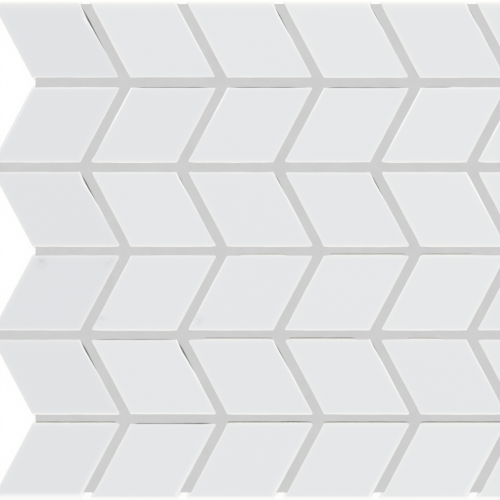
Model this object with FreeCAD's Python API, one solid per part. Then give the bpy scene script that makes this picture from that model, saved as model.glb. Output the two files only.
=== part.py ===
import FreeCAD
import Part
import math
import os

# Chevron mosaic wall tile: one sheet of glazed ceramic tiles, each a leaning parallelogram.
# Rows lean by turns to the right and to the left, so that every two rows make a band of chevrons.
# A grid of grey grout fills the joints, laps in over the foot of every arris and holds the tiles together.
# X runs along the rows with the chevrons pointing to +X, Y runs up the sheet and +Z is the glazed side.
# The origin is the middle of the sheet on its back.  All lengths are in millimetres.

# Driving dimensions of the sheet
ROWS = 6
COLUMNS = 6
JOINT_WIDTH = 3.2

# Driving dimensions of one tile
TILE_LENGTH = 45.4
TILE_HEIGHT = 39.5
TILE_THICKNESS = 6.0
SLANT_DEGREES = 28.0
EASED_CORNER_RADIUS = 1.0

# Driving dimensions of the rolled arris: how far it reaches in over the face, how far it falls,
# and the radius in which it meets the tile's side
ARRIS_WIDTH = 2.2
ARRIS_DROP = 1.2
ARRIS_SIDE_RADIUS = 0.5

# Driving dimensions of the keying grooves pressed into the back of each tile
KEY_GROOVES = 3
KEY_GROOVE_WIDTH = 5.0
KEY_GROOVE_DEPTH = 0.6
KEY_MARGIN = 4.5

# Driving dimensions of the grout: how far it laps in over the arris, and how far the joints' open ends
# stay back from the tiles' outer edges, at the head and sides of the sheet and at its foot
GROUT_LAP = 0.6
GROUT_SETBACK = 1.2
GROUT_FOOT_SETBACK = 3.9

# Sizes that follow from the driving dimensions
SLANT = math.tan(math.radians(SLANT_DEGREES))
ROW_PITCH = TILE_HEIGHT + JOINT_WIDTH
COLUMN_PITCH = TILE_LENGTH + JOINT_WIDTH / math.cos(math.radians(SLANT_DEGREES))
SHEET_HEIGHT = ROWS * ROW_PITCH - JOINT_WIDTH
ROW_LENGTH = COLUMNS * COLUMN_PITCH - (COLUMN_PITCH - TILE_LENGTH)
UP = FreeCAD.Vector(0, 0, 1)

# The rolled arris is two arcs with a common tangent: the one next to the face has this radius,
# and the one next to the side turns by this angle before they meet
ARRIS_REACH = ARRIS_WIDTH - ARRIS_SIDE_RADIUS
ARRIS_RISE = ARRIS_DROP - ARRIS_SIDE_RADIUS
ARRIS_FACE_RADIUS = (ARRIS_REACH ** 2 + ARRIS_DROP ** 2 - ARRIS_SIDE_RADIUS ** 2) / (2 * ARRIS_RISE)
ARRIS_SIDE_TURN = math.atan2(ARRIS_FACE_RADIUS - ARRIS_DROP, ARRIS_REACH)

OUT = "parts"


def lean_of_row(row):
    """Sideways shift for each millimetre up the sheet: rows lean left and right by turns."""
    return -SLANT if row % 2 == 0 else SLANT


def row_centre(row):
    """Y of the middle of a row; row 0 is the top one."""
    return ((ROWS - 1) / 2 - row) * ROW_PITCH


def column_centre(column):
    """X of the middle of a column; column 0 is the left one."""
    return (column - (COLUMNS - 1) / 2) * COLUMN_PITCH


def leaning_corners(length, height, lean, middle_y=0.0):
    """Corners of a parallelogram with level long sides, counter-clockwise from the low left one.
    The lean is taken about Y = 0, so an outline set off at middle_y stays in line with the tile's ends."""
    corners = []
    for side_x, side_y in ((-1, -1), (1, -1), (1, 1), (-1, 1)):
        y = middle_y + side_y * height / 2
        corners.append(FreeCAD.Vector(lean * y + side_x * length / 2, y, 0))
    return corners


def raised(corners, bottom, top):
    """A prism that stands on the given outline between two levels."""
    outline = Part.makePolygon(corners + corners[:1])
    prism = Part.Face(outline).extrude(UP * (top - bottom))
    return prism.translated(UP * bottom)


def tile_block(lean):
    """The tile's plan with its two acute corners eased, raised to the tile's thickness."""
    corners = leaning_corners(TILE_LENGTH, TILE_HEIGHT, lean)
    acute = corners[0::2] if lean > 0 else corners[1::2]
    block = raised(corners, 0, TILE_THICKNESS)
    middles = [corner + UP * (TILE_THICKNESS / 2) for corner in acute]
    touch = Part.Precision.confusion()
    upright = [edge for edge in block.Edges if any(edge.CenterOfMass.isEqual(m, touch) for m in middles)]
    return block.makeFillet(EASED_CORNER_RADIUS, upright)


def arris_height(inset):
    """Height of the rolled arris above its foot, at a distance in from the tile's side."""
    side_arc_end = ARRIS_SIDE_RADIUS * (1 - math.cos(ARRIS_SIDE_TURN))
    if inset < side_arc_end:
        return math.sqrt(ARRIS_SIDE_RADIUS ** 2 - (ARRIS_SIDE_RADIUS - inset) ** 2)
    return ARRIS_DROP - ARRIS_FACE_RADIUS + math.sqrt(ARRIS_FACE_RADIUS ** 2 - (ARRIS_WIDTH - inset) ** 2)


def arris_trim(start, end):
    """What the rolled arris takes off along one side of the face: all that lies outside an oval roll.
    The roll leaves the side in a small arc, ARRIS_DROP below the face, and goes on in a large arc that
    runs level into the face, ARRIS_WIDTH in from the side.
    The trim runs past both corners, so that the trims of neighbouring sides meet in a mitre."""
    along = (end - start).normalize()
    inward = UP.cross(along)
    overrun = along * (2 * ARRIS_WIDTH)
    foot = start - overrun + UP * (TILE_THICKNESS - ARRIS_DROP)

    def at(inwards, upwards):
        return foot + inward * inwards + UP * upwards

    def on_side_arc(turn):
        return at(ARRIS_SIDE_RADIUS * (1 - math.cos(turn)), ARRIS_SIDE_RADIUS * math.sin(turn))

    def on_face_arc(turn):
        inset = ARRIS_WIDTH - ARRIS_FACE_RADIUS * math.cos(turn)
        return at(inset, arris_height(inset))

    low_bend = on_side_arc(ARRIS_SIDE_TURN / 2)
    tangent = on_side_arc(ARRIS_SIDE_TURN)
    high_bend = on_face_arc((ARRIS_SIDE_TURN + math.pi / 2) / 2)
    crown = at(ARRIS_WIDTH, ARRIS_DROP)
    roll = [Part.Arc(foot, low_bend, tangent).toShape(), Part.Arc(tangent, high_bend, crown).toShape()]
    above = [at(ARRIS_WIDTH, 2 * ARRIS_DROP), at(-ARRIS_WIDTH, 2 * ARRIS_DROP), at(-ARRIS_WIDTH, 0)]
    section = Part.Wire(roll + Part.makePolygon([crown, *above, foot]).Edges)
    return Part.Face(section).extrude(end - start + overrun * 2)


def key_grooves(lean):
    """Blind grooves in the back, level with the rows and spread evenly between the margins."""
    length = TILE_LENGTH - 2 * KEY_MARGIN
    spread = TILE_HEIGHT - 2 * KEY_MARGIN - KEY_GROOVE_WIDTH
    grooves = []
    for number in range(KEY_GROOVES):
        middle_y = spread * (number / (KEY_GROOVES - 1) - 0.5) if KEY_GROOVES > 1 else 0.0
        corners = leaning_corners(length, KEY_GROOVE_WIDTH, lean, middle_y)
        grooves.append(raised(corners, -KEY_GROOVE_DEPTH, KEY_GROOVE_DEPTH))
    return grooves


def rolled_tile(lean):
    """The body of one tile: eased acute corners, and an arris that rolls over all round the face."""
    corners = leaning_corners(TILE_LENGTH, TILE_HEIGHT, lean)
    trims = [arris_trim(start, end) for start, end in zip(corners, corners[1:] + corners[:1])]
    return tile_block(lean).cut(trims)


def glazed_tile(lean):
    """One pressed tile: the rolled body with its grooved back."""
    return rolled_tile(lean).cut(key_grooves(lean)).Solids[0]


def grout_outline():
    """The zigzag edge of the grout, set back so that every joint ends just inside the tiles' outer edges."""
    head = SHEET_HEIGHT / 2 - GROUT_SETBACK
    foot = GROUT_FOOT_SETBACK - SHEET_HEIGHT / 2
    half_length = ROW_LENGTH / 2 - GROUT_SETBACK
    left = []
    right = []
    for row in range(ROWS):
        middle_y = row_centre(row)
        for edge_y in (middle_y + TILE_HEIGHT / 2, middle_y - TILE_HEIGHT / 2):
            y = max(foot, min(head, edge_y))
            shift = lean_of_row(row) * (y - middle_y)
            left.append(FreeCAD.Vector(shift - half_length, y, 0))
            right.append(FreeCAD.Vector(shift + half_length, y, 0))
    return left + right[::-1]


def joint_grout():
    """The grid of grout: a slab of the zigzag outline with a close-fitting window for every tile.
    Its top is level with the line on the arris to which it laps in."""
    top = TILE_THICKNESS - ARRIS_DROP + arris_height(GROUT_LAP)
    windows = []
    for row in range(ROWS):
        window = rolled_tile(lean_of_row(row))
        for column in range(COLUMNS):
            place = FreeCAD.Vector(column_centre(column), row_centre(row), 0)
            windows.append(window.translated(place))
    return raised(grout_outline(), 0, top).cut(windows).Solids[0]


os.makedirs(OUT, exist_ok=True)

for row in range(ROWS):
    tile = glazed_tile(lean_of_row(row))
    for column in range(COLUMNS):
        place = FreeCAD.Vector(column_centre(column), row_centre(row), 0)
        tile.translated(place).exportStep(f"{OUT}/tile_row{row + 1}_column{column + 1}.step")

joint_grout().exportStep(f"{OUT}/joint_grout.step")
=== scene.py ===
import math

import bpy
import numpy as np
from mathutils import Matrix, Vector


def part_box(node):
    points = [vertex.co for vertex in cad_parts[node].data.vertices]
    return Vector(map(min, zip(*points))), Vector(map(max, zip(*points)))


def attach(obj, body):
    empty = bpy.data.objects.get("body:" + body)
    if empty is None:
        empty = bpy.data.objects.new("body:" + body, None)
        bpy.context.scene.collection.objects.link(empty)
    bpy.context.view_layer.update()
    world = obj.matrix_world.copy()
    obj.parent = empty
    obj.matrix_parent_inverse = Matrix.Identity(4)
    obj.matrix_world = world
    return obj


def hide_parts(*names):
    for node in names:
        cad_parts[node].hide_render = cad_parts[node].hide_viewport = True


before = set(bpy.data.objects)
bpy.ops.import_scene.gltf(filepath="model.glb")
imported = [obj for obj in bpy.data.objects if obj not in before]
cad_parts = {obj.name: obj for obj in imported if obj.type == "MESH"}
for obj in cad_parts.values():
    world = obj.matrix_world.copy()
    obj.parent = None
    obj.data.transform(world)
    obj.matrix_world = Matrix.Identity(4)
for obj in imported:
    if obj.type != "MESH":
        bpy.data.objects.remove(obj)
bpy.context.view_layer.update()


# Glazed tiles: thirty-six leaning parallelograms of white porcelain, dust-pressed and fired in a gloss
# glaze that rolls over a soft arris and stops part way down the sides; the bare back has key grooves.
# Rows lean left and right by turns, and the grout in the joints holds every tile by its sides.
MM = 0.001        # one millimetre in metres; the lengths below are in millimetres
ROWS = 6
COLUMNS = 6
SLANT = math.radians(28)
ARRIS_WIDTH = 2.2
ARRIS_DROP = 1.2
ARRIS_SIDE_RADIUS = 0.5
ACUTE_CORNER_RADIUS = 1.0
OBTUSE_CORNER_RADIUS = 0.4
LEAST_CORNER_RADIUS = 0.2
CORNER_GROWTH = -0.35
BACK_EDGE_RADIUS = 0.35
BACK_RIM = 2.0
GLAZE_STOPS = 2.3
GLAZE_FULL = 3.1
KEY_GROOVES = 3
KEY_GROOVE_WIDTH = 5.0
KEY_GROOVE_DEPTH = 0.6
KEY_GROOVE_DRAFT = 0.3
KEY_MARGIN = 4.5

# How finely the mesh is stepped: at the corners, along and between the grooves, round the arcs, and over
# the face.
CORNER_RUN = 1.5
CORNER_POINTS = 5
GROOVE_POINTS = 21
RIDGE_STEPS = 4
BACK_ARC_POINTS = 3
SIDE_ARC_POINTS = 5
FACE_ARC_POINTS = 9
FACE_LOOPS = 10


def tile_node(row, column):
    """Name of a tile's solid; rows count from the head of the sheet and columns from the left."""
    return f"tile_row{row + 1}_column{column + 1}"


def node_box(node):
    """Lowest and highest corner of a solid, in millimetres."""
    low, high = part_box(node)
    return np.array(low) / MM, np.array(high) / MM


def tile_centre(row, column):
    """Middle of a tile on the sheet: halfway between the corners of its box."""
    low, high = node_box(tile_node(row, column))
    return ((low + high) / 2)[:2]


def row_lean(row):
    """Sideways shift for each millimetre up the sheet: rows lean by turns, the top one to the left."""
    return -math.tan(SLANT) if row % 2 == 0 else math.tan(SLANT)


tile_low, tile_high = node_box(tile_node(0, 0))
TILE_THICKNESS = tile_high[2]
TILE_HEIGHT = tile_high[1] - tile_low[1]
JOINT_WIDTH = (tile_centre(0, 0) - tile_centre(1, 0))[1] - TILE_HEIGHT
TILE_LENGTH = (tile_centre(0, 1) - tile_centre(0, 0))[0] - JOINT_WIDTH / math.cos(SLANT)

# Lines that cross the tile from side to side, as distances from its middle: they mark the groove walls
# on the back and leave no stretch of a side longer than about four millimetres.
groove_length = TILE_LENGTH - 2 * KEY_MARGIN
groove_spread = TILE_HEIGHT - 2 * KEY_MARGIN - KEY_GROOVE_WIDTH
groove_middles = groove_spread * (np.arange(KEY_GROOVES) / (KEY_GROOVES - 1) - 0.5)
groove_wall = KEY_GROOVE_WIDTH / 2 - np.array([0, KEY_GROOVE_DRAFT])
groove_lines = np.concatenate((-groove_wall, [0], groove_wall[::-1]))
ridge = np.diff(groove_middles)[0] - KEY_GROOVE_WIDTH
ridge_lines = KEY_GROOVE_WIDTH / 2 + ridge * np.arange(1, RIDGE_STEPS) / RIDGE_STEPS
upward_lines = np.sort(np.concatenate((
    (groove_middles[:, None] + groove_lines).ravel(),
    (groove_middles[:-1, None] + ridge_lines).ravel(),
)))
groove_end = groove_length / 2
floor_end = groove_end - KEY_GROOVE_DRAFT
floor_lines = np.linspace(-floor_end, floor_end, GROOVE_POINTS)
sideways_lines = np.concatenate(([-groove_end], floor_lines, [groove_end]))
corner_stations = np.linspace(0, CORNER_RUN, CORNER_POINTS)


def eased_sides(inset, lean):
    """The four sides of the leaning outline, set in from the tile's sides, each from corner to corner
    and counter-clockwise from the low one.  A point lies on its side at its distance from the corner;
    within the tangent length of the corner's arc it lies on that arc instead, at the same share of half
    its turn.  The corners sharpen inwards."""
    half_height = TILE_HEIGHT / 2 - inset
    half_length = TILE_LENGTH / 2 - inset / math.cos(SLANT)
    across = np.array([-1, 1, 1, -1])
    up = np.array([-1, -1, 1, 1])
    corner = np.stack((across * half_length + lean * up * half_height, up * half_height), axis=-1)
    ahead = np.roll(corner, -1, axis=0) - corner
    ahead /= np.linalg.norm(ahead, axis=-1, keepdims=True)
    behind = -np.roll(ahead, 1, axis=0)
    half_angle = np.arccos((ahead * behind).sum(axis=-1)) / 2
    outer_radius = np.where(half_angle < math.pi / 4, ACUTE_CORNER_RADIUS, OBTUSE_CORNER_RADIUS)
    radius = np.maximum(outer_radius + CORNER_GROWTH * inset, LEAST_CORNER_RADIUS)
    reach = radius / np.tan(half_angle)
    inward = (ahead + behind) / np.linalg.norm(ahead + behind, axis=-1, keepdims=True)
    hub = corner + inward * (radius / np.sin(half_angle))[:, None]
    facing = np.arctan2(-inward[:, 1], -inward[:, 0])
    turn = math.pi / 2 - half_angle

    def on_arc(number, angle):
        """Points at these angles round the hub of one corner."""
        return hub[number] + radius[number] * np.stack((np.cos(angle), np.sin(angle)), axis=-1)

    sides = []
    for first, last in ((0, 1), (1, 2), (2, 3), (3, 0)):
        level = first % 2 == 0
        half_side = half_length if level else half_height / math.cos(SLANT)
        lines = sideways_lines if level else upward_lines / math.cos(SLANT)
        ends = 2 * half_side - corner_stations[::-1]
        passed = np.concatenate((corner_stations, half_side + lines, ends))
        to_go = passed[-1] - passed
        leaving = on_arc(first, facing[first] + turn[first] * passed / reach[first])
        arriving = on_arc(last, facing[last] - turn[last] * to_go / reach[last])
        straight = corner[first] + passed[:, None] * ahead[first]
        side = np.where((to_go < reach[last])[:, None], arriving, straight)
        sides.append(np.where((passed < reach[first])[:, None], leaving, side))
    return sides


def closed_loop(sides):
    """The four sides joined to one loop, with the point of each corner once."""
    return np.concatenate([side[:-1] for side in sides])


def strip_faces(first, second):
    """Quads between two closed loops of as many points each."""
    return np.stack((first, np.roll(first, -1), np.roll(second, -1), second), axis=-1)


def grid_faces(wide, tall):
    """Quads of a grid whose points are numbered column by column."""
    numbers = np.arange(wide * tall).reshape(wide, tall)
    corners = (numbers[:-1, :-1], numbers[:-1, 1:], numbers[1:, 1:], numbers[1:, :-1])
    return np.stack(corners, axis=-1).reshape(-1, 4)


# The arris is two arcs with a common tangent: a small one next to the side, and a large one that runs
# into the face.
arris_foot = TILE_THICKNESS - ARRIS_DROP
arris_reach = ARRIS_WIDTH - ARRIS_SIDE_RADIUS
arris_rise = ARRIS_DROP - ARRIS_SIDE_RADIUS
arris_face_radius = (arris_reach ** 2 + ARRIS_DROP ** 2 - ARRIS_SIDE_RADIUS ** 2) / (2 * arris_rise)
arris_side_turn = math.atan2(arris_face_radius - ARRIS_DROP, arris_reach)
side_arc_end = ARRIS_SIDE_RADIUS * (1 - math.cos(arris_side_turn))


def arris_height(inset):
    """Height of the arris above its foot, at a distance in from the side: on the small arc, then on the
    large one."""
    to_face = np.clip(ARRIS_WIDTH - inset, 0, arris_face_radius)
    on_face_arc = ARRIS_DROP - arris_face_radius + np.sqrt(arris_face_radius ** 2 - to_face ** 2)
    to_hub = np.clip(ARRIS_SIDE_RADIUS - inset, 0, ARRIS_SIDE_RADIUS)
    on_side_arc = np.sqrt(ARRIS_SIDE_RADIUS ** 2 - to_hub ** 2)
    return np.where(inset < side_arc_end, on_side_arc, on_face_arc)


def tile_profile():
    """Inset and height of the tile's edge from the back to the face: a small round at the back, the
    upright side, and the arris's two arcs, stepped by equal turns."""
    back_turn = np.linspace(0, math.pi / 2, BACK_ARC_POINTS)
    back = BACK_EDGE_RADIUS * (1 - np.stack((np.sin(back_turn), np.cos(back_turn)), axis=-1))
    side = np.array([(0, GLAZE_STOPS), (0, GLAZE_FULL)])
    low_turn = np.linspace(0, arris_side_turn, SIDE_ARC_POINTS)
    high_turn = np.linspace(arris_side_turn, math.pi / 2, FACE_ARC_POINTS)[1:]
    low_inset = ARRIS_SIDE_RADIUS * (1 - np.cos(low_turn))
    high_inset = ARRIS_WIDTH - arris_face_radius * np.cos(high_turn)
    inset = np.concatenate((low_inset, high_inset))
    arris = np.stack((inset, arris_foot + arris_height(inset)), axis=-1)
    return np.concatenate((back, side, arris))


def groove_depth(sideways, upwards):
    """Depth of the key grooves under a point of the back: flat floors, and walls that slope by
    the draft."""
    from_middle = np.abs(upwards[..., None] - groove_middles).min(axis=-1)
    to_wall = np.minimum(KEY_GROOVE_WIDTH / 2 - from_middle, groove_end - np.abs(sideways))
    return KEY_GROOVE_DEPTH * np.clip(to_wall / KEY_GROOVE_DRAFT, 0, 1)


def tile_surface(lean):
    """One closed tile about its own middle: its points, its quads, and the triangles round the pole in
    the middle of the face.  The back is a grid of the crossing lines, the edge carries the profile round
    the eased outline, and the face is that outline drawn in to the middle by equal steps."""
    low_side, _, _, left_side = eased_sides(BACK_RIM, lean)
    back = low_side[:, None] + left_side[::-1][None] - low_side[0]
    depth = groove_depth(back[..., 0] - lean * back[..., 1], back[..., 1])
    back_points = np.concatenate((back, depth[..., None]), axis=-1)
    wide, tall = depth.shape
    numbers = np.arange(wide * tall).reshape(wide, tall)
    around = np.concatenate((numbers[:-1, 0], numbers[-1, :-1], numbers[:0:-1, -1], numbers[0, :0:-1]))

    loops = []
    for inset, height in tile_profile():
        outline = closed_loop(eased_sides(inset, lean))
        loops.append(np.concatenate((outline, np.full((len(outline), 1), height)), axis=-1))
    shares = np.linspace(1, 0, FACE_LOOPS + 1)[1:-1]
    loops.extend([loops[-1] * (share, share, 1) for share in shares])
    loops = np.array(loops)
    loop_numbers = wide * tall + np.arange(loops.shape[0] * loops.shape[1]).reshape(loops.shape[:2])
    pole = np.array([[0, 0, TILE_THICKNESS]])
    pole_number = np.full(loops.shape[1], loop_numbers[-1, -1] + 1)
    points = np.concatenate((back_points.reshape(-1, 3), loops.reshape(-1, 3), pole))
    rings = np.concatenate((around[None], loop_numbers))
    strips = [strip_faces(lower, upper) for lower, upper in zip(rings[:-1], rings[1:])]
    quads = np.concatenate([grid_faces(wide, tall), *strips])
    triangles = np.stack((rings[-1], np.roll(rings[-1], -1), pole_number), axis=-1)
    return points, quads, triangles


# How uneven a fired face is: how much it leans to one side, how much it is crowned in the middle,
# and how long and how high its waves are.
TILE_SEED = 28
FACE_TIP = 0.04
FACE_CROWN = (0.06, 0.12)
WAVE_LENGTHS = np.array([9.0, 14.0, 23.0])
WAVE_HEIGHTS = np.array([0.008, 0.014, 0.022])


def glaze_relief(points, lean, dice):
    """The face's own unevenness out of the kiln: it is crowned in the middle, leans a little to one
    side, and has long, shallow waves that run in chance directions.  All of it dies out towards the
    sides."""
    upwards = np.clip(points[:, 1] / (TILE_HEIGHT / 2), -1, 1)
    sideways = np.clip((points[:, 0] - lean * points[:, 1]) / (TILE_LENGTH / 2), -1, 1)
    tip = dice.uniform(-FACE_TIP, FACE_TIP) * sideways + dice.uniform(-FACE_TIP, FACE_TIP) * upwards
    heading = dice.uniform(0, math.pi, len(WAVE_LENGTHS))
    phase = dice.uniform(0, 2 * math.pi, len(WAVE_LENGTHS))
    run = points[:, :1] * np.cos(heading) + points[:, 1:2] * np.sin(heading)
    waves = (WAVE_HEIGHTS * np.sin(2 * math.pi * run / WAVE_LENGTHS + phase)).sum(axis=-1)
    crown = dice.uniform(*FACE_CROWN)
    return (1 - sideways ** 2) * (1 - upwards ** 2) * (crown + tip + waves)


# Faint grey smudges on the glaze: place on the sheet and radius.
SMUDGE_PLACES = np.array([(-100.3, -34.6, 3.4), (-50.6, -35.0, 3.4), (-130.4, -5.8, 4.2), (-95.8, -5.6, 3.2)])

# Painted shade darkens the first columns a little, standing in for the weaker light on the left: share
# in the first one, columns over which it fades to about a third, and what chance adds at most on any
# tile as a tone of its own.
FIRST_COLUMN_SHADE = 0.6
SHADE_FADES = 1.1
TONE_SPREAD = 0.25

# A painted sheen lightens the glaze towards each edge, standing in for the light that the arrises catch,
# as the exponential of the distance: share at the edge, and fading length.  It hardly does so at the
# free ends of the rows, and less at the head of the sheet than along a joint.
SIDE_NAMES = ("low", "right", "high", "left")
UPPER_EDGE_SHEEN = (1.05, 0.8)
LOWER_EDGE_SHEEN = (2.4, 0.6)
UPPER_SIDE_SHEEN = (1.45, 0.7)
LOWER_SIDE_SHEEN = (1.6, 0.75)
FREE_HEAD_SHEEN = (1.0, 1.3)
FREE_SIDE_SHEEN = (0.35, 0.9)

# Along the foot of the sheet, where there is no grout, the arris is painted white, a painted highlight:
# distances in, and shares.  The white reaches further in on some columns than on others.
FOOT_DISTANCES = (0, 0.75, 1.9, 2.2)
FOOT_SHARES = (1, 0.9, 0.5, 0)
FOOT_REACHES = (1.4, 0.85, 0.9, 0.9, 0.9, 0.9)
FOOT_SPREAD = (0.95, 1.05)

# How far the grout laps in over an arris, and how much further over the tiles above and below each level
# joint, from the top one down, and over those on the left and right of each row's slanted joints.
GROUT_LAP = 0.62
LEVEL_LAPS = ((0.35, 0.2), (-0.15, 0.6), (-0.25, 0.1), (0.0, 0.1), (0.1, -0.1))
SLANTED_LAPS = ((0.4, 0.05), (0.1, 0.4), (0.2, 0.25), (0.1, 0.3), (0.0, 0.3), (0.15, 0.28))
LAP_SPREAD = 0.12
LAP_SEED = 6

# Shrinkage cracks as row, joint, where along the joint each starts and ends, and how wide it opens.
# Rows of joints count from the top, and joints along a row from the left.  Level ones run from left to
# right along the head of the tile below, slanted ones up the right side of the tile on their left.
# The level cracks stand open down the tile's side; the other two kinds only thin the lap, and painted
# shade darkens the arris beside them, as dark as the shadow in a crack.
LEVEL_CRACKS = (
    (2, 2, 0.15, 0.70, 0.05), (2, 3, 0.03, 0.97, 0.14), (2, 4, 0.02, 0.60, 0.12),
    (3, 2, 0.20, 0.98, 0.18), (3, 3, 0.02, 0.82, 0.25), (3, 4, 0.30, 0.70, 0.08),
    (4, 0, 0.01, 0.98, 0.28), (4, 2, 0.01, 0.985, 0.34), (4, 2, 0.60, 0.90, 0.07),
    (4, 3, 0.01, 0.985, 0.31), (4, 4, 0.01, 0.985, 0.33), (4, 5, 0.01, 0.80, 0.26),
)
HAIRLINES = (
    (0, 1, 0.07, 0.99, 0.18), (0, 2, 0.05, 0.94, 0.18), (0, 3, 0.02, 0.98, 0.19),
    (0, 4, 0.0, 0.36, 0.13),
    (3, 1, 0.02, 0.98, 0.17), (4, 1, 0.01, 0.985, 0.23), (4, 1, 0.60, 0.90, 0.08),
)
SLANTED_CRACKS = (
    (0, 0, 0.36, 0.95, 0.54), (0, 2, 0.56, 0.94, 0.34), (0, 3, 0.70, 0.94, 0.16),
    (0, 4, 0.70, 0.94, 0.20),
    (2, 0, 0.56, 0.99, 0.58), (2, 1, 0.66, 0.99, 0.21), (2, 2, 0.66, 0.99, 0.21),
    (2, 3, 0.60, 0.98, 0.35),
    (4, 0, 0.56, 0.99, 0.56), (4, 1, 0.56, 0.99, 0.50), (4, 2, 0.60, 0.99, 0.32),
    (4, 3, 0.74, 0.98, 0.20),
)
LEVEL_RAMPS = (0.03, 0.03)
HAIRLINE_RAMPS = (0.1, 0.2)
SLANTED_RAMPS = (0.6, 0.3)
CRACK_UNEVENNESS = 0.12
CRACK_WAVES = 17.0
# Blur of the painted shade beside a crack, and how much of a painted glint its width adds.
CRACK_BLUR = 0.3
CRACK_GLINT = 1.0

# How bright the painted glints are, painted highlights on the arris: along each row's upward-facing
# sides, towards their heads, along the heads and feet of its tiles, and further in along its
# downward-facing sides, towards their feet.
SIDE_GLINTS = (0.7, 1.1, 0.95, 0.3, 0.7, 0.1)
HEAD_GLINTS = (0.0, 0.45, 0.35, 0.05, 0.0, 0.0)
FOOT_GLINTS = (0.15, 0.1, 0.05, 0.3, 0.6, 0.0)
UNDERSIDE_GLINTS = (0.0, 0.0, 0.0, 0.15, 0.0, 0.6)
GLINT_SPREAD = (0.7, 1.3)
GLINT_STARTS = (0.0, 0.4)
GLINT_RUN = 0.4
GLINT_INSET = 0.35
UNDERSIDE_INSET = 1.0
GLINT_WIDTH = 0.36

lap_dice = np.random.default_rng(LAP_SEED)
uneven_laps = lap_dice.uniform(-LAP_SPREAD, LAP_SPREAD, (ROWS, COLUMNS, len(SIDE_NAMES)))


def is_free_side(column, name):
    """Whether a slanted side stands at an end of its row, where there is no grout."""
    return (column, name) in ((0, "left"), (COLUMNS - 1, "right"))


def upper_side(row):
    """The slanted side of a row's tiles that faces up the sheet."""
    return "right" if row_lean(row) < 0 else "left"


def lower_side(row):
    """The slanted side of a row's tiles that faces down the sheet."""
    return "left" if upper_side(row) == "right" else "right"


def side_distances(points, lean):
    """How far the points of a tile about its own middle lie in from each of its sides, square to it."""
    sideways = points[:, 0] - lean * points[:, 1]
    return {
        "low": TILE_HEIGHT / 2 + points[:, 1],
        "right": (TILE_LENGTH / 2 - sideways) * math.cos(SLANT),
        "high": TILE_HEIGHT / 2 - points[:, 1],
        "left": (TILE_LENGTH / 2 + sideways) * math.cos(SLANT),
    }


def side_lap(row, column, name):
    """How far the grout laps in over one side of one tile: the sum of the common lap, what its joint
    adds, and chance."""
    lap = GROUT_LAP + uneven_laps[row, column, SIDE_NAMES.index(name)]
    if name == "low":
        return lap + LEVEL_LAPS[min(row, ROWS - 2)][0]
    if name == "high":
        return lap + LEVEL_LAPS[max(row - 1, 0)][1]
    return lap + SLANTED_LAPS[row][0 if name == "right" else 1]


def past_lap(row, column, name, distance):
    """How far points lie in from the edge of the grout on one side: their distance from the side, less
    the lap.  From a side without grout that is endless."""
    if is_free_side(column, name):
        return np.full(len(distance), np.inf)
    return distance - side_lap(row, column, name)


def edge_sheen(row, column, name):
    """Share of painted sheen at one side of a tile, and its fading length."""
    if is_free_side(column, name):
        return FREE_SIDE_SHEEN
    if name == "low":
        return LOWER_EDGE_SHEEN
    if name == "high":
        return FREE_HEAD_SHEEN if row == 0 else UPPER_EDGE_SHEEN
    return UPPER_SIDE_SHEEN if name == upper_side(row) else LOWER_SIDE_SHEEN


def lightened(distance, share, fading):
    """Share of lightening at a distance from an edge: it falls exponentially by the fading length."""
    return np.clip(share * np.exp(-distance / fading), 0, 1)


def glint(past, inset=GLINT_INSET):
    """Share of a painted glint: a bell curve about a line that runs a little way in from the edge of the
    grout.
    """
    return np.exp(-((past - inset) / GLINT_WIDTH) ** 2)


def crack_shade_share(opening, past):
    """Share of painted shade on the arris beside a crack, dark as the shadow in it: full from under the
    lap to the crack's width past the lap's edge, with a straight blur about that line."""
    return (opening > 0) * np.clip((opening - past) / CRACK_BLUR + 0.5, 0, 1)


def opening_along(places, ramps, row, joint, along):
    """Sum of what is listed for one joint: each opening rises to its width and falls again in straight
    ramps, given as shares of its length, and a long wave, with a phase of the joint's own, makes it
    uneven."""
    opening = np.zeros(len(along))
    for place_row, place_joint, start, end, width in places:
        if (place_row, place_joint) == (row, joint):
            share = (along - start) / (end - start)
            wave = 1 + CRACK_UNEVENNESS * np.sin(CRACK_WAVES * along + row + 2 * joint)
            ramp = np.minimum(share / ramps[0], (1 - share) / ramps[1])
            opening += width * wave * np.clip(ramp, 0, 1)
    return opening


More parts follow.
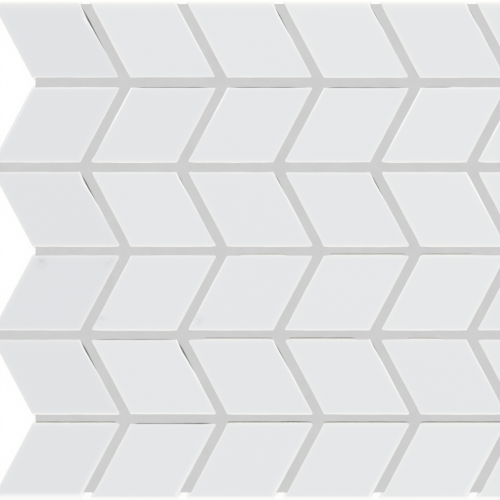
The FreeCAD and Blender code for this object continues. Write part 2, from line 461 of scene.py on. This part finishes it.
def glaze_masks(row, column, own_points, points, dice):
    """Shares of a tile's finishes and of the light and shade painted on it, at its points, which are
    given about its own middle and on the sheet.  The glaze fades in up the side; the arris takes the
    lightest painted sheen of the four edges; the rim takes the brightest of its painted glints and the
    painted white foot; painted shade and a chance tone make one shade for the whole tile; a smudge falls
    off straight from the middle of its place; painted shade follows the cracks."""
    distance = side_distances(own_points, row_lean(row))
    past = {name: past_lap(row, column, name, distance[name]) for name in SIDE_NAMES}
    up_slant = distance["low"] / TILE_HEIGHT
    along_row = distance["left"] / (TILE_LENGTH * math.cos(SLANT))
    glaze = np.clip((points[:, 2] - GLAZE_STOPS) / (GLAZE_FULL - GLAZE_STOPS), 0, 1)
    # Painted sheen on the arris towards each edge.
    edges = [lightened(distance[name], *edge_sheen(row, column, name)) for name in SIDE_NAMES]
    # Painted shade on the first columns, with a tone of the tile's own by chance.
    shade = FIRST_COLUMN_SHADE * math.exp(-column / SHADE_FADES) + dice.uniform(0, TONE_SPREAD)
    smudge_share = np.linalg.norm(points[:, None, :2] - SMUDGE_PLACES[:, :2], axis=-1) / SMUDGE_PLACES[:, 2]
    crack = opening_along(SLANTED_CRACKS, SLANTED_RAMPS, row, column, up_slant)
    hairline = opening_along(HAIRLINES, HAIRLINE_RAMPS, row - 1, column, along_row)
    # Painted shade on the arris beside the hairlines and slanted cracks.
    crack_shade = (crack_shade_share(crack, past["right"]), crack_shade_share(hairline, past["high"]))
    # Painted glints along the arrises, from part way up the upward-facing side.
    side_glint = SIDE_GLINTS[row] * dice.uniform(*GLINT_SPREAD)
    side_glint *= np.clip((up_slant - dice.uniform(*GLINT_STARTS)) / GLINT_RUN, 0, 1)
    # Painted white highlight on the foot of the bottom row.
    foot_reach = FOOT_REACHES[column] * dice.uniform(*FOOT_SPREAD)
    foot_highlight = np.interp(distance["low"] / foot_reach, FOOT_DISTANCES, FOOT_SHARES)
    bright = (
        (side_glint + CRACK_GLINT * crack) * glint(past[upper_side(row)] - crack),
        HEAD_GLINTS[row] * glint(past["high"] - hairline),
        FOOT_GLINTS[row] * glint(past["low"]),
        UNDERSIDE_GLINTS[row] * (1 - up_slant) * glint(past[lower_side(row)], UNDERSIDE_INSET),
        foot_highlight * (row == ROWS - 1),
    )
    return {
        "glaze": glaze,
        "arris": glaze * np.max(edges, axis=0),
        "rim": glaze * np.clip(np.max(bright, axis=0), 0, 1),
        "painted_shade_and_tone": np.full(len(points), shade),
        "smudge": np.clip(1 - smudge_share, 0, 1).max(axis=-1),
        "crack_shade": np.max(crack_shade, axis=0),
    }


# Colours of the glaze, of what lies over it, of the light and shade painted on it and of the bare
# biscuit, and the lengths of their patterns.
# The grain of the biscuit is drawn as coarse as it needs to show.
GLAZE_WHITE = "E8EAEB"
CLOUD_WHITE = "E9EAEB"
PAINTED_SHADE_GREY = "E0E1E4"
ARRIS_SHEEN_CREAM = "FFFCF5"
PAINTED_HIGHLIGHT_WHITE = "FFFFFF"
PIT_BROWN = "B5B1AB"
SMUDGE_GREY = "C4C3C4"
CRACK_SHADE_DARK = "565452"
BISCUIT_DARK = "D6D0C5"
BISCUIT_LIGHT = "E6E1D8"
GLAZE_CLOUD_LENGTH = 16.0
PIT_SPACING = 9.0
STREAK_LENGTH = 2.5
GLAZE_RUN_LENGTH = 3.0
BISCUIT_GRAIN_LENGTH = 0.6
PEEL_LENGTH = 1.4
PEEL_DEPTH = 0.05
GLAZE_ROUGHNESS = 0.14
BISCUIT_ROUGHNESS = 0.8


def linear_colour(code):
    """An sRGB hex colour as linear red, green, blue and alpha, by the sRGB curve."""
    share = np.array([int(code[i:i + 2], 16) for i in (0, 2, 4)]) / 255
    linear = np.where(share <= 0.04045, share / 12.92, ((share + 0.055) / 1.055) ** 2.4)
    return (*linear.tolist(), 1.0)


def add_node(tree, kind, settings=None, links=None):
    """Adds one node: each setting goes to the property or socket of that name, each link to that socket.
    A socket that shares its name with others is given by its number."""
    node = tree.nodes.new(kind)
    for name, value in (settings or {}).items():
        if isinstance(name, str) and hasattr(node, name):
            setattr(node, name, value)
        else:
            node.inputs[name].default_value = value
    for name, source in (links or {}).items():
        tree.links.new(source, node.inputs[name])
    return node


def new_material(name):
    """An empty material and its node tree."""
    material = bpy.data.materials.new(name)
    material.use_nodes = True
    material.node_tree.nodes.clear()
    return material, material.node_tree


def glazed_porcelain():
    """Gloss-glazed porcelain, sprayed and fired: a cool, even white under a clear hard skin that mirrors
    lamps sharply, with a few pinholes.  Painted light lies in its colour: a warmer painted sheen over
    the arris, painted white glints along it, painted shade on the first columns and dark painted shade
    beside the cracks.  Below the glaze line and on the back the body is bare, a matt cream biscuit."""
    material, tree = new_material("glazed_porcelain")
    place = add_node(tree, "ShaderNodeTexCoord").outputs["Object"]
    mask = {
        name: add_node(tree, "ShaderNodeAttribute", {"attribute_name": name}).outputs["Fac"]
        for name in ("glaze", "arris", "rim", "painted_shade_and_tone", "smudge", "crack_shade")
    }
    noise = {
        name: add_node(
            tree, "ShaderNodeTexNoise", {"Scale": 1 / (length * MM), "Detail": detail}, {"Vector": place}
        ).outputs["Fac"]
        for name, length, detail in (
            ("cloud", GLAZE_CLOUD_LENGTH, 2.0),
            ("streak", STREAK_LENGTH, 3.0),
            ("run", GLAZE_RUN_LENGTH, 2.0),
            ("grain", BISCUIT_GRAIN_LENGTH, 4.0),
            ("peel", PEEL_LENGTH, 1.0),
        )
    }
    cloud_share = add_node(
        tree, "ShaderNodeMapRange", {"From Min": 0.35, "From Max": 0.65}, {"Value": noise["cloud"]}
    )
    pit_cells = add_node(
        tree, "ShaderNodeTexVoronoi", {"Scale": 1 / (PIT_SPACING * MM)}, {"Vector": place}
    )
    pit_share = add_node(
        tree, "ShaderNodeMapRange",
        {"From Min": 0.04, "From Max": 0.02, "To Min": 0.0, "To Max": 0.15},
        {"Value": pit_cells.outputs["Distance"]},
    )
    streak_share = add_node(
        tree, "ShaderNodeMapRange",
        {"From Min": 0.36, "From Max": 0.72, "To Min": 0.0, "To Max": 0.65},
        {"Value": noise["streak"]},
    )
    smudge_share = add_node(
        tree, "ShaderNodeMath", {"operation": "MULTIPLY"},
        {0: mask["smudge"], 1: streak_share.outputs["Result"]},
    )
    glaze = add_node(
        tree, "ShaderNodeMix",
        {"data_type": "RGBA", "A": linear_colour(GLAZE_WHITE), "B": linear_colour(CLOUD_WHITE)},
        {"Factor": cloud_share.outputs["Result"]},
    )
    # Layers over the glaze, each by its share: painted shade with chance tone, painted sheen on the
    # arris, painted glints and white foot, pinholes, grey smudges, and painted shade beside the cracks.
    layers = (
        (PAINTED_SHADE_GREY, mask["painted_shade_and_tone"]),
        (ARRIS_SHEEN_CREAM, mask["arris"]),
        (PAINTED_HIGHLIGHT_WHITE, mask["rim"]),
        (PIT_BROWN, pit_share.outputs["Result"]),
        (SMUDGE_GREY, smudge_share.outputs["Value"]),
        (CRACK_SHADE_DARK, mask["crack_shade"]),
    )
    for code, share in layers:
        glaze = add_node(
            tree, "ShaderNodeMix", {"data_type": "RGBA", "B": linear_colour(code)},
            {"Factor": share, "A": glaze.outputs["Result"]},
        )
    biscuit = add_node(
        tree, "ShaderNodeMix",
        {"data_type": "RGBA", "A": linear_colour(BISCUIT_DARK), "B": linear_colour(BISCUIT_LIGHT)},
        {"Factor": noise["grain"]},
    )
    run_down = add_node(
        tree, "ShaderNodeMath", {"operation": "ADD"}, {0: mask["glaze"], 1: noise["run"]}
    )
    covered = add_node(
        tree, "ShaderNodeMapRange", {"From Min": 0.9, "From Max": 1.0},
        {"Value": run_down.outputs["Value"]},
    ).outputs["Result"]
    colour = add_node(
        tree, "ShaderNodeMix", {"data_type": "RGBA"},
        {"Factor": covered, "A": biscuit.outputs["Result"], "B": glaze.outputs["Result"]},
    )
    roughness = add_node(
        tree, "ShaderNodeMapRange", {"To Min": BISCUIT_ROUGHNESS, "To Max": GLAZE_ROUGHNESS},
        {"Value": covered},
    )
    skin = add_node(
        tree, "ShaderNodeMix", {"data_type": "FLOAT"},
        {"Factor": covered, "A": noise["grain"], "B": noise["peel"]},
    )
    bump = add_node(
        tree, "ShaderNodeBump", {"Strength": 0.06, "Distance": PEEL_DEPTH * MM},
        {"Height": skin.outputs["Result"]},
    )
    shader = add_node(
        tree, "ShaderNodeBsdfPrincipled", {"IOR": 1.52},
        {
            "Base Color": colour.outputs["Result"],
            "Roughness": roughness.outputs["Result"],
            "Normal": bump.outputs["Normal"],
        },
    )
    add_node(tree, "ShaderNodeOutputMaterial", links={"Surface": shader.outputs["BSDF"]})
    return material


# Faces that meet at a greater angle than this keep a sharp edge between them.
SHARP_ANGLE = math.radians(40)


def new_piece(name, points, faces, material, attributes=None):
    """A mesh object at the origin from points in millimetres, smooth but for its sharp edges."""
    mesh = bpy.data.meshes.new(name)
    mesh.from_pydata((points * MM).tolist(), [], faces)
    for attribute_name, values in (attributes or {}).items():
        attribute = mesh.attributes.new(attribute_name, "FLOAT", "POINT")
        attribute.data.foreach_set("value", np.asarray(values, dtype=np.float32))
    mesh.materials.append(material)
    mesh.shade_smooth()
    mesh.set_sharp_from_angle(angle=SHARP_ANGLE)
    piece = bpy.data.objects.new(name, mesh)
    bpy.context.scene.collection.objects.link(piece)
    return piece


tile_material = glazed_porcelain()
tile_dice = np.random.default_rng(TILE_SEED)
edge_fall = {}
for row in range(ROWS):
    flat_points, tile_quads, tile_triangles = tile_surface(row_lean(row))
    tile_faces = tile_quads.tolist() + tile_triangles.tolist()
    arris_share = np.clip((flat_points[:, 2] - arris_foot) / ARRIS_DROP, 0, 1)
    for column in range(COLUMNS):
        relief = glaze_relief(flat_points, row_lean(row), tile_dice)
        edge_fall[row, column] = relief.max()
        points = flat_points.copy()
        points[:, 2] += arris_share * (relief - relief.max())
        points[:, :2] += tile_centre(row, column)
        masks = glaze_masks(row, column, flat_points, points, tile_dice)
        tile = new_piece(f"glazed_{tile_node(row, column)}", points, tile_faces, tile_material, masks)
        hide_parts(tile_node(row, column))
        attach(tile, "root")


# Joint grout: one grid of sanded grey cement, floated into the joints and struck off so that it laps in
# over the foot of every arris.  It shrank as it set, and thin cracks opened along some of the tiles'
# sides.  Every joint ends inside the tiles' outer edges, furthest in at the foot of the sheet.
GROUT_SETBACK = 1.2
GROUT_FOOT_SETBACK = 3.9
GROUT_DISH = 0.1
CRACK_CLEARS = 0.05
CRACK_BOTTOM = 2.4
LAP_RUN_IN = 4.0
WELD_DIGITS = 5

# Waves in the edge of the lap: their common height, and for each how far it runs sideways and upwards
# for one radian, and its phase.
LAP_WAVE = 0.1
LAP_WAVES = ((7.3, 11.9, 0.0), (4.1, -5.7, 1.3), (2.3, 2.9, 4.0))

# How finely the mesh is stepped: shares of the lap, points on a flank below the lap's edge, and points
# across a joint.
LAP_STEPS = np.array([0, 0.2, 0.55, 1])
FLANK_POINTS = len(LAP_STEPS) + 1
ACROSS_POINTS = 9


def run_along(side):
    """Length passed from the first point of a line to each of its points."""
    steps = np.linalg.norm(np.diff(side, axis=0), axis=-1)
    return np.concatenate(([0], np.cumsum(steps)))


def lap_inset(side, row, column, name):
    """How far the grout laps in over the arris at each point of a side: the side's own lap with the mean
    of some long waves, which runs into the mean of two sides' laps at the corner that they share."""
    x, y = side.T
    waves = sum(np.sin(x / sideways + y / upwards + phase) for sideways, upwards, phase in LAP_WAVES)
    lap = side_lap(row, column, name)
    first, last = ("left", "right") if name in ("low", "high") else ("low", "high")
    passed = run_along(side)
    to_first = np.clip(1 - passed / LAP_RUN_IN, 0, 1)
    to_last = np.clip(1 - (passed[-1] - passed) / LAP_RUN_IN, 0, 1)
    change_first = (side_lap(row, column, first) - lap) / 2
    change_last = (side_lap(row, column, last) - lap) / 2
    return lap + LAP_WAVE * waves / len(LAP_WAVES) + to_first * change_first + to_last * change_last


def joint_wall(side, inner_side, lap, gap, fall):
    """One flank of a filled joint, from the back up the tile's side and in over its arris, which the
    uneven face lowers by the fall, to the lap's edge.  Where a crack opens, the lap is gone and the
    flank stands off by its width; it meets the side again at the crack's bottom."""
    held = np.clip(1 - gap / CRACK_CLEARS, 0, 1)[:, None]
    lapped = lap[:, None] * LAP_STEPS
    inset = held * lapped - (1 - held) * gap[:, None]
    plan = side[:, None] + inset[..., None] * (inner_side - side)[:, None]
    height = arris_foot + arris_height(lapped) * (1 - fall / ARRIS_DROP)
    upper = np.concatenate((plan, height[..., None]), axis=-1)
    back = np.concatenate((side, np.zeros((len(side), 1))), axis=-1)
    lower = np.stack((back, back + (0, 0, CRACK_BOTTOM)), axis=1)
    return np.concatenate((lower, upper), axis=1)


def joint_bar(first_wall, second_wall):
    """A length of filled joint between two flanks, as closed sections along it: up the first flank,
    across the top, which is dished by a parabola, down the second flank and back underneath."""
    across = (1 - np.cos(np.linspace(0, math.pi, ACROSS_POINTS))) / 2
    share = across[None, :, None]
    top = (1 - share) * first_wall[:, -1:] + share * second_wall[:, -1:]
    top[..., 2] -= GROUT_DISH * 4 * across * (1 - across)
    bottom = (1 - share) * first_wall[:, :1] + share * second_wall[:, :1]
    return np.concatenate((first_wall[:, :-1], top, second_wall[:, -2::-1], bottom[:, -2:0:-1]), axis=1)


def top_line(section):
    """The line across the top of a section, from the first flank to the second."""
    return section[FLANK_POINTS:FLANK_POINTS + ACROSS_POINTS]


def bottom_line(section):
    """The line across the underside of a section, from the first flank to the second."""
    second_foot = 2 * FLANK_POINTS + ACROSS_POINTS - 1
    return np.concatenate((section[second_foot:], section[:1]))[::-1]


def cut_section(bar, axis, level):
    """Where the lines along a bar cross one level of an axis, between the last point short of it and the
    next.  A line that ends short of the level runs on straight."""
    last = np.clip((bar[..., axis] < level).sum(axis=0) - 1, 0, len(bar) - 2)
    line = np.arange(bar.shape[1])
    start, end = bar[last, line], bar[last + 1, line]
    share = (level - start[:, axis]) / (end - start)[:, axis]
    return start + share[:, None] * (end - start)


def trimmed(bar, axis, low=-np.inf, high=np.inf):
    """What lies of a bar between two levels of an axis, with a fresh flat section at each cut."""
    along = bar[..., axis]
    kept = [bar[((along > low) & (along < high)).all(axis=1)]]
    if along.min() < low:
        kept.insert(0, cut_section(bar, axis, low)[None])
    if along.max() > high:
        kept.append(cut_section(bar, axis, high)[None])
    return np.concatenate(kept)


def bar_faces(count, around):
    """Quads along a bar of that many closed sections."""
    numbers = np.arange(count * around).reshape(count, around)
    return np.concatenate([strip_faces(near, far) for near, far in zip(numbers[:-1], numbers[1:])])


def filled_patch(upper, lower, left, right):
    """Grid that fills four edge lines: the blend of left and right plus that of upper and lower,
    less the blend of the four corners."""
    across = np.linspace(0, 1, len(upper))[:, None, None]
    down = np.linspace(0, 1, len(left))[None, :, None]
    lengthwise = (1 - across) * left[None] + across * right[None]
    crosswise = (1 - down) * upper[:, None] + down * lower[:, None]
    left_corners = (1 - down) * upper[0] + down * lower[0]
    right_corners = (1 - down) * upper[-1] + down * lower[-1]
    return lengthwise + crosswise - ((1 - across) * left_corners + across * right_corners)


# Every tile's sides on the sheet, each with the same side one millimetre in; they run to the right
# and up.
tile_sides = {}
for row in range(ROWS):
    outer = eased_sides(0, row_lean(row))
    inner = eased_sides(1, row_lean(row))
    for column in range(COLUMNS):
        centre = tile_centre(row, column)
        for name, side, inner_side in zip(SIDE_NAMES, outer, inner):
            order = 1 if name in ("low", "right") else -1
            tile_sides[row, column, name] = (side[::order] + centre, inner_side[::order] + centre)


def tile_flank(row, column, name):
    """The grout's flank along one side of one tile.  A crack in the level joint above the tile opens
    right down its side; a hairline there, and a crack in the slanted joint on its right, thin the lap by
    half their width."""
    side, inner_side = tile_sides[row, column, name]
    passed = run_along(side)
    along = passed / passed[-1]
    lap = lap_inset(side, row, column, name)
    gap = np.zeros(len(side))
    if name == "high":
        gap = opening_along(LEVEL_CRACKS, LEVEL_RAMPS, row - 1, column, along)
        lap -= opening_along(HAIRLINES, HAIRLINE_RAMPS, row - 1, column, along) / 2
    if name == "right":
        lap -= opening_along(SLANTED_CRACKS, SLANTED_RAMPS, row, column, along) / 2
    return joint_wall(side, inner_side, lap, gap, edge_fall[row, column])


grout_points = []
grout_faces = []


def add_grout(points, faces):
    """Adds one block of the grid, with its points numbered after those of the blocks before it."""
    start = sum(len(block) for block in grout_points)
    grout_points.append(points.reshape(-1, 3))
    grout_faces.append(faces + start)


def add_patch(upper, lower, left, right, flip):
    """Adds the grid that fills four edge lines, turned over where its other face looks outward."""
    patch = filled_patch(upper, lower, left, right)
    faces = grid_faces(*patch.shape[:2])
    add_grout(patch, faces[:, ::-1] if flip else faces)


def add_end(section, forward):
    """Closes the free end of a bar with a grid between its top, its bottom and its two flanks."""
    first_flank = section[FLANK_POINTS::-1]
    second_flank = section[FLANK_POINTS + ACROSS_POINTS - 1:2 * FLANK_POINTS + ACROSS_POINTS]
    add_patch(top_line(section), bottom_line(section), first_flank, second_flank, flip=forward)


level_bars = {}
for row in range(ROWS - 1):
    for column in range(COLUMNS):
        bar = joint_bar(tile_flank(row, column, "low"), tile_flank(row + 1, column, "high"))
        if column == 0:
            bar = trimmed(bar, 0, low=bar[0, 0, 0] + GROUT_SETBACK)
        if column == COLUMNS - 1:
            bar = trimmed(bar, 0, high=bar[-1, 0, 0] - GROUT_SETBACK)
        level_bars[row, column] = bar
        add_grout(bar, bar_faces(*bar.shape[:2]))
    add_end(level_bars[row, 0][0], False)
    add_end(level_bars[row, COLUMNS - 1][-1], True)

sheet_head = tile_high[1]
sheet_foot = node_box(tile_node(ROWS - 1, 0))[0][1]
slanted_bars = {}
for row in range(ROWS):
    for joint in range(COLUMNS - 1):
        bar = joint_bar(tile_flank(row, joint, "right"), tile_flank(row, joint + 1, "left"))
        if row == 0:
            bar = trimmed(bar, 1, high=sheet_head - GROUT_SETBACK)
        if row == ROWS - 1:
            bar = trimmed(bar, 1, low=sheet_foot + GROUT_FOOT_SETBACK)
        slanted_bars[row, joint] = bar
        add_grout(bar, bar_faces(*bar.shape[:2]))
        if row == 0:
            add_end(bar[-1], True)
        if row == ROWS - 1:
            add_end(bar[0], False)

for row in range(ROWS - 1):
    for joint in range(COLUMNS - 1):
        ends = (
            slanted_bars[row, joint][0], slanted_bars[row + 1, joint][-1],
            level_bars[row, joint][-1], level_bars[row, joint + 1][0],
        )
        add_patch(*map(top_line, ends), flip=False)
        add_patch(*map(bottom_line, ends), flip=True)

# Colours of the dry cement and of its sand, and the lengths of their patterns.  The sand is drawn as
# coarse as it needs to show.
GROUT_GREY = "CBCBCB"
GROUT_LIGHT = "D5D5D5"
SAND_GREY = "BABABA"
SAND_LENGTH = 0.5
SAND_DEPTH = 0.12
GROUT_CLOUD_LENGTH = 9.0


def cement_grout():
    """Sanded cement grout, floated and sponged: an even pale grey, quite matt, with the fine tooth of
    sand and faint cloudy patches where it dried at different speeds."""
    material, tree = new_material("cement_grout")
    place = add_node(tree, "ShaderNodeTexCoord").outputs["Object"]
    sand, cloud = (
        add_node(
            tree, "ShaderNodeTexNoise", {"Scale": 1 / (length * MM), "Detail": 3.0}, {"Vector": place}
        ).outputs["Fac"]
        for length in (SAND_LENGTH, GROUT_CLOUD_LENGTH)
    )
    clouded = add_node(
        tree, "ShaderNodeMix",
        {"data_type": "RGBA", "A": linear_colour(GROUT_GREY), "B": linear_colour(GROUT_LIGHT)},
        {"Factor": cloud},
    )
    grain = add_node(
        tree, "ShaderNodeMapRange",
        {"From Min": 0.55, "From Max": 0.75, "To Min": 0.0, "To Max": 0.3},
        {"Value": sand},
    )
    sanded = add_node(
        tree, "ShaderNodeMix", {"data_type": "RGBA", "B": linear_colour(SAND_GREY)},
        {"Factor": grain.outputs["Result"], "A": clouded.outputs["Result"]},
    )
    roughness = add_node(tree, "ShaderNodeMapRange", {"To Min": 0.85, "To Max": 0.98}, {"Value": sand})
    bump = add_node(
        tree, "ShaderNodeBump", {"Strength": 0.35, "Distance": SAND_DEPTH * MM}, {"Height": sand}
    )
    shader = add_node(
        tree, "ShaderNodeBsdfPrincipled", {"IOR": 1.45, "Specular IOR Level": 0.3},
        {
            "Base Color": sanded.outputs["Result"],
            "Roughness": roughness.outputs["Result"],
            "Normal": bump.outputs["Normal"],
        },
    )
    add_node(tree, "ShaderNodeOutputMaterial", links={"Surface": shader.outputs["BSDF"]})
    return material


# Blocks that meet have the same points along their borders, and these become one.
all_points = np.round(np.concatenate(grout_points), WELD_DIGITS)
all_faces = np.concatenate(grout_faces)
welded_points, welded_number = np.unique(all_points, axis=0, return_inverse=True)
welded_faces = welded_number.reshape(-1)[all_faces].tolist()
grout = new_piece("joint_grout_grid", welded_points, welded_faces, cement_grout())
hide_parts("joint_grout")
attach(grout, "root")


# Studio: a white paper floor under the sheet, an even white dome, and two low softboxes beyond the
# sheet's upper corners, which draw bright lines along the arrises that face them.  The camera looks
# straight down with a long lens, and FIELD is the width of its view at the level of the glazed faces.
FIELD = 253.8
VIEW_CENTRE = (-24.65, 0.44)
LENS = 600.0
SENSOR = 36.0
FLOOR_HALF = 4000.0
FLOOR_BELOW = 0.3
PAPER_WHITE = "FDFDFD"
PAPER_GLOW = 0.94
DOME_LIGHT = 0.95
WHITE = (1, 1, 1, 1)
SOFTBOX_SIZE = 230.0
SOFTBOX_DISTANCE = 1300.0
SOFTBOX_LIFT = math.radians(34)
SOFTBOX_AZIMUTHS = (math.radians(32), math.radians(150))
SOFTBOX_POWER = 0.4

scene = bpy.context.scene
scene.view_settings.view_transform = "Standard"


def seen_directly(tree):
    """One for a ray that looks at the studio, straight, in a mirror or through glass, and otherwise
    zero: the greatest of the three kinds."""
    rays = add_node(tree, "ShaderNodeLightPath").outputs
    seen = rays["Is Camera Ray"]
    for kind in ("Is Glossy Ray", "Is Transmission Ray"):
        greatest = add_node(tree, "ShaderNodeMath", {"operation": "MAXIMUM"}, {0: seen, 1: rays[kind]})
        seen = greatest.outputs["Value"]
    return seen


# White paper, quite matt: what is seen of it mostly glows, so that the ground is a clean white and keeps
# only a faint shadow.
paper, paper_tree = new_material("white_paper")
glow_share = add_node(
    paper_tree, "ShaderNodeMath", {"operation": "MULTIPLY", 1: PAPER_GLOW},
    {0: seen_directly(paper_tree)},
)
matt = add_node(paper_tree, "ShaderNodeBsdfDiffuse", {"Color": linear_colour(PAPER_WHITE)})
glow = add_node(paper_tree, "ShaderNodeEmission", {"Color": WHITE, "Strength": 1.0})
blend = add_node(
    paper_tree, "ShaderNodeMixShader",
    links={0: glow_share.outputs["Value"], 1: matt.outputs["BSDF"], 2: glow.outputs["Emission"]},
)
add_node(paper_tree, "ShaderNodeOutputMaterial", links={"Surface": blend.outputs["Shader"]})
floor_corners = np.array([(-1, -1, 0), (1, -1, 0), (1, 1, 0), (-1, 1, 0)]) * FLOOR_HALF
floor = new_piece("paper_floor", floor_corners - (0, 0, FLOOR_BELOW), [(0, 1, 2, 3)], paper)

dome = bpy.data.worlds.new("white_dome")
scene.world = dome
dome.use_nodes = True
dome_tree = dome.node_tree
dome_tree.nodes.clear()
light = add_node(dome_tree, "ShaderNodeBackground", {"Color": WHITE, "Strength": DOME_LIGHT})
white = add_node(dome_tree, "ShaderNodeBackground", {"Color": WHITE, "Strength": 1.0})
sky = add_node(
    dome_tree, "ShaderNodeMixShader",
    links={0: seen_directly(dome_tree), 1: light.outputs["Background"], 2: white.outputs["Background"]},
)
add_node(dome_tree, "ShaderNodeOutputWorld", links={"Surface": sky.outputs["Shader"]})

for number, azimuth in enumerate(SOFTBOX_AZIMUTHS):
    lamp = bpy.data.lights.new(f"softbox_{number + 1}", "AREA")
    lamp.shape = "SQUARE"
    lamp.size = SOFTBOX_SIZE * MM
    lamp.energy = SOFTBOX_POWER
    softbox = bpy.data.objects.new(lamp.name, lamp)
    level = SOFTBOX_DISTANCE * math.cos(SOFTBOX_LIFT) * MM
    softbox.location = (
        VIEW_CENTRE[0] * MM + level * math.cos(azimuth),
        VIEW_CENTRE[1] * MM + level * math.sin(azimuth),
        SOFTBOX_DISTANCE * math.sin(SOFTBOX_LIFT) * MM,
    )
    softbox.rotation_euler = (0, math.pi / 2 - SOFTBOX_LIFT, azimuth)
    scene.collection.objects.link(softbox)

camera_data = bpy.data.cameras.new("camera")
camera_data.lens = LENS
camera_data.sensor_width = SENSOR
camera = bpy.data.objects.new("camera", camera_data)
camera_height = TILE_THICKNESS + FIELD * LENS / SENSOR
camera.location = (VIEW_CENTRE[0] * MM, VIEW_CENTRE[1] * MM, camera_height * MM)
scene.collection.objects.link(camera)
scene.camera = camera
